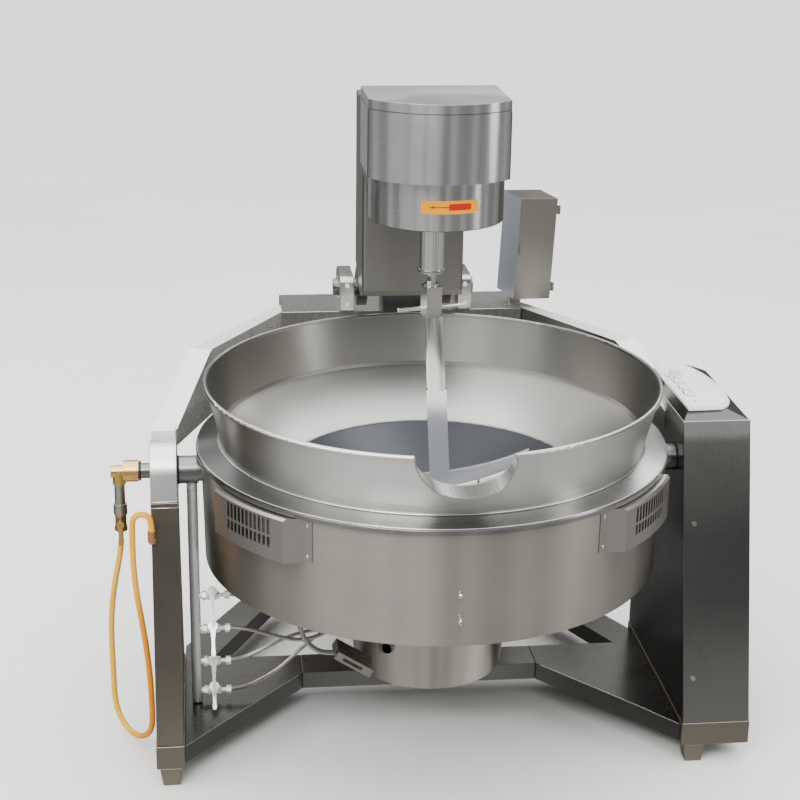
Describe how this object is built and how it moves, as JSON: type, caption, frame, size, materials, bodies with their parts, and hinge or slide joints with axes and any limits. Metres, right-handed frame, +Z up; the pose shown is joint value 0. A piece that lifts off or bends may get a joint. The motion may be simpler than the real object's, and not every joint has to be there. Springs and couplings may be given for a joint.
{
  "type": "tilting cooking wok with stirrer",
  "caption": "Gas-heated tilting wok on a steel frame, with a planetary stirring head on a lifting arm, a pouring lip and a control panel.",
  "frame": {"origin": "middle of the machine's footprint on the floor", "axes": "+Z up; -Y is the front, the side it pours to; +X is the right, the side of the control panel"},
  "size_m": [1.6302, 1.47, 1.69],
  "materials": {
    "pot_steel": "brushed, fine circular grain",
    "dish_steel": "polished, faint circular grain",
    "frame_steel": "brushed, upright grain",
    "head_steel": "brushed, upright grain",
    "bright_steel": "polished",
    "valve_chrome": "polished",
    "cast_iron": "painted grey casting",
    "motor_paint": "satin paint",
    "panel_white": "satin white",
    "button_grey": "moulded",
    "button_green": "moulded",
    "brass": "cast and machined",
    "copper": "machined",
    "hose_yellow": "extruded hose",
    "ptfe": "machined scraper plastic",
    "box_steel": "brushed"
  },
  "bodies": {
    "frame": {"base_crossbar": "frame_steel", "left_base_leg": "frame_steel", "right_base_leg": "frame_steel", "side_rails": "frame_steel", "plinths": "frame_steel", "feet": "frame_steel", "left_post": "frame_steel", "bearing_cap": "bright_steel", "shaft_bearings": "bright_steel", "hose_fitting": "copper", "cabinet_shell": "frame_steel", "cabinet_cover": "frame_steel", "pivot_ears": "frame_steel", "frame_screws": "bright_steel", "worm_gearboxes": "cast_iron", "drive_motors": "motor_paint", "console": "frame_steel", "control_panel": "panel_white", "rear_box": "frame_steel", "wing_beams": "frame_steel", "control_box": "box_steel", "box_post": "frame_steel", "union_elbow": "brass", "inlet_valve": "brass", "gas_hose": "hose_yellow"},
    "wok": {"wok_bowl": "dish_steel", "pour_lip": "pot_steel", "shoulder_ring": "pot_steel", "skirt": "pot_steel", "burner_chamber": "pot_steel", "burner_ring": "cast_iron", "vent_hoods": "pot_steel", "skirt_fittings": "bright_steel", "trunnions": "bright_steel", "gas_manifold": "bright_steel", "valve_bodies": "valve_chrome", "gas_tubes": "bright_steel"},
    "arm": {"arm_column": "head_steel", "pivot_shaft": "bright_steel", "head_hood": "head_steel", "gear_drum": "head_steel", "stir_motor": "motor_paint", "ring_gear": "cast_iron"},
    "carrier": {"planet_carrier": "head_steel"},
    "stirrer": {"planet_gear": "cast_iron", "stir_spindle": "bright_steel", "stir_arm": "bright_steel", "stir_blade": "bright_steel", "scraper_pads": "ptfe"},
    "pin": {"release_pin": "bright_steel"},
    "door": {"box_door": "box_steel"},
    "up_button": {"tilt_up_button": "button_grey"},
    "down_button": {"tilt_down_button": "button_grey"},
    "go_button": {"stir_button": "button_green"},
    "knob": {"speed_knob": "button_grey"},
    "inlet_handle": {"inlet_lever": "brass"},
    "lever_1": {"valve_lever_1": "valve_chrome"},
    "lever_2": {"valve_lever_2": "valve_chrome"},
    "lever_3": {"valve_lever_3": "valve_chrome"},
    "lever_4": {"valve_lever_4": "valve_chrome"}
  },
  "joints": [
    {"name": "kettle_tilt", "type": "hinge", "parent": "frame", "child": "wok", "pos_m": [-0.002, -0.115, 0.749], "axis": [1, 0, 0], "range_deg": [0, 80]},
    {"name": "arm_lift", "type": "hinge", "parent": "frame", "child": "arm", "pos_m": [-0.002, 0.55, 1.03], "axis": [-1, 0, 0], "range_deg": [0, 88]},
    {"name": "stir_revolve", "type": "hinge", "parent": "arm", "child": "carrier", "pos_m": [-0.002, -0.115, 1.4], "axis": [0, 0, 1], "continuous": true},
    {"name": "stir_spin", "type": "hinge", "parent": "carrier", "child": "stirrer", "pos_m": [-0.002, -0.055, 1.3], "axis": [0, 0, 1], "continuous": true},
    {"name": "pin_pull", "type": "slide", "parent": "stirrer", "child": "pin", "axis": [-0.9751, -0.2215, 0], "range_m": [0, 0.03]},
    {"name": "box_door_swing", "type": "hinge", "parent": "frame", "child": "door", "pos_m": [0.43027, 0.55952, 0.98439], "axis": [0.0468, 0.0105, 0.9988], "range_deg": [0, 110]},
    {"name": "tilt_up_press", "type": "slide", "parent": "frame", "child": "up_button", "axis": [0, 0, -1], "range_m": [0, 0.004], "stiffness_N_per_m": 400},
    {"name": "tilt_down_press", "type": "slide", "parent": "frame", "child": "down_button", "axis": [0, 0, -1], "range_m": [0, 0.004], "stiffness_N_per_m": 400},
    {"name": "stir_press", "type": "slide", "parent": "frame", "child": "go_button", "axis": [0, 0, -1], "range_m": [0, 0.004], "stiffness_N_per_m": 400},
    {"name": "speed_turn", "type": "hinge", "parent": "frame", "child": "knob", "pos_m": [0.67, 0.075, 0.902], "axis": [0, 0, 1], "range_deg": [-135, 135]},
    {"name": "inlet_turn", "type": "hinge", "parent": "frame", "child": "inlet_handle", "pos_m": [-0.783, -0.1535, 0.622], "axis": [0, -1, 0], "range_deg": [0, 90]},
    {"name": "lever_1_turn", "type": "hinge", "parent": "wok", "child": "lever_1", "pos_m": [-0.56, -0.13763, 0.42463], "axis": [0, -0.7071, 0.7071], "range_deg": [0, 90]},
    {"name": "lever_2_turn", "type": "hinge", "parent": "wok", "child": "lever_2", "pos_m": [-0.56, -0.14089, 0.32681], "axis": [0, -0.809, 0.5878], "range_deg": [0, 90]},
    {"name": "lever_3_turn", "type": "hinge", "parent": "wok", "child": "lever_3", "pos_m": [-0.56, -0.14376, 0.22903], "axis": [0, -0.8988, 0.4384], "range_deg": [0, 90]},
    {"name": "lever_4_turn", "type": "hinge", "parent": "wok", "child": "lever_4", "pos_m": [-0.56, -0.13802, 0.15223], "axis": [0, -0.7193, 0.6947], "range_deg": [0, 90]}
  ],
  "couplings": [
    {"joint": "arm_lift", "follows": "kettle_tilt", "ratio": 1.1},
    {"joint": "stir_spin", "follows": "stir_revolve", "ratio": -2.6667}
  ]
}
